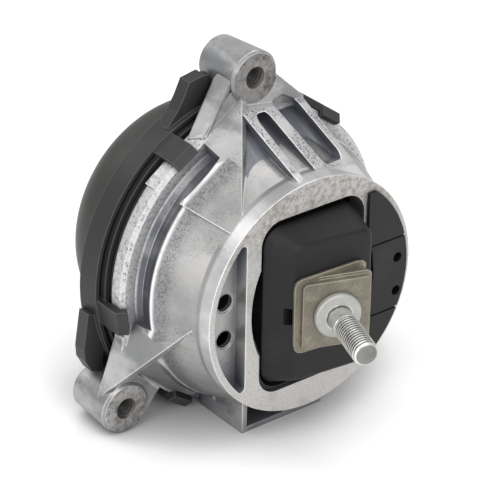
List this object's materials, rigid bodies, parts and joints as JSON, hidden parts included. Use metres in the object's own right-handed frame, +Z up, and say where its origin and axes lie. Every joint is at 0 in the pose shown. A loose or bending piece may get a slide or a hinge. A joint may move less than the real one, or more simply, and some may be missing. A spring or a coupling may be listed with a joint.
{
  "type": "engine mount",
  "caption": "Hydraulic engine mount: cast housing with three threaded ears, rubber stop block with a stud, fluid chamber, domed cup and clip ring.",
  "frame": {"origin": "on the floor under the middle of the whole mount; the main axis runs along Y, 68.7 mm above the floor, and the front ring's face is at y = -29.8 mm", "axes": "-Y out of the ring face towards the stud, +X to the right of the ring face, +Z up as the mount lies on its foot and two lower ears"},
  "size_m": [0.1688, 0.167, 0.1723],
  "materials": {
    "cast_aluminium": "die-cast, slightly rough",
    "moulded_rubber": "matt",
    "spring_rubber": "matt",
    "coated_core": "thin brown bonding coat, satin",
    "zinc_plated_steel": "zinc plated",
    "pressed_steel": "plain",
    "channel_alloy": "die-cast",
    "cup_plastic": "matt",
    "clip_plastic": "matt"
  },
  "bodies": {
    "root": {"housing": "cast_aluminium", "side_pad": "moulded_rubber", "window_lining": "moulded_rubber", "stop_buffer": "moulded_rubber", "main_spring": "spring_rubber", "decoupler_membrane": "spring_rubber", "bellows": "spring_rubber", "core": "coated_core", "stud": "zinc_plated_steel", "spring_outer_ring": "pressed_steel", "bellows_clamp_ring": "pressed_steel", "upper_channel_plate": "channel_alloy", "lower_channel_plate": "channel_alloy", "rear_cup": "cup_plastic", "clip_ring": "clip_plastic"}
  },
  "joints": []
}
